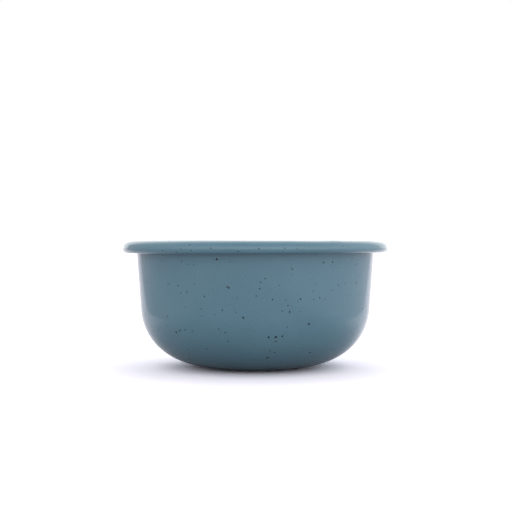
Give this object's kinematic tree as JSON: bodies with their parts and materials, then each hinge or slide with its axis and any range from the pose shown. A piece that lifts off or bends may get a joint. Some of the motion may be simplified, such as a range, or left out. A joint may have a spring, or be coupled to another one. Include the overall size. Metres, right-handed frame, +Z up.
{
  "type": "enamelled steel bowl",
  "caption": "Small round enamelled steel bowl with a rolled rim, nearly straight sides, a rounded lower corner and a small flat standing ring.",
  "frame": {"origin": "centre of the base, in the plane the bowl stands on", "axes": "+Z up along the bowl's axis of revolution, out of its mouth; X and Y are level and interchangeable"},
  "size_m": [0.16, 0.16, 0.0765],
  "materials": {
    "sheet_steel": "bare deep-drawn sheet",
    "ground_enamel": "dark fused bonding coat",
    "teal_enamel": "glossy, with fine dark flecks"
  },
  "bodies": {
    "root": {"steel_shell": "sheet_steel", "inner_ground_coat": "ground_enamel", "outer_ground_coat": "ground_enamel", "inner_cover_coat": "teal_enamel", "outer_cover_coat": "teal_enamel"}
  },
  "joints": []
}
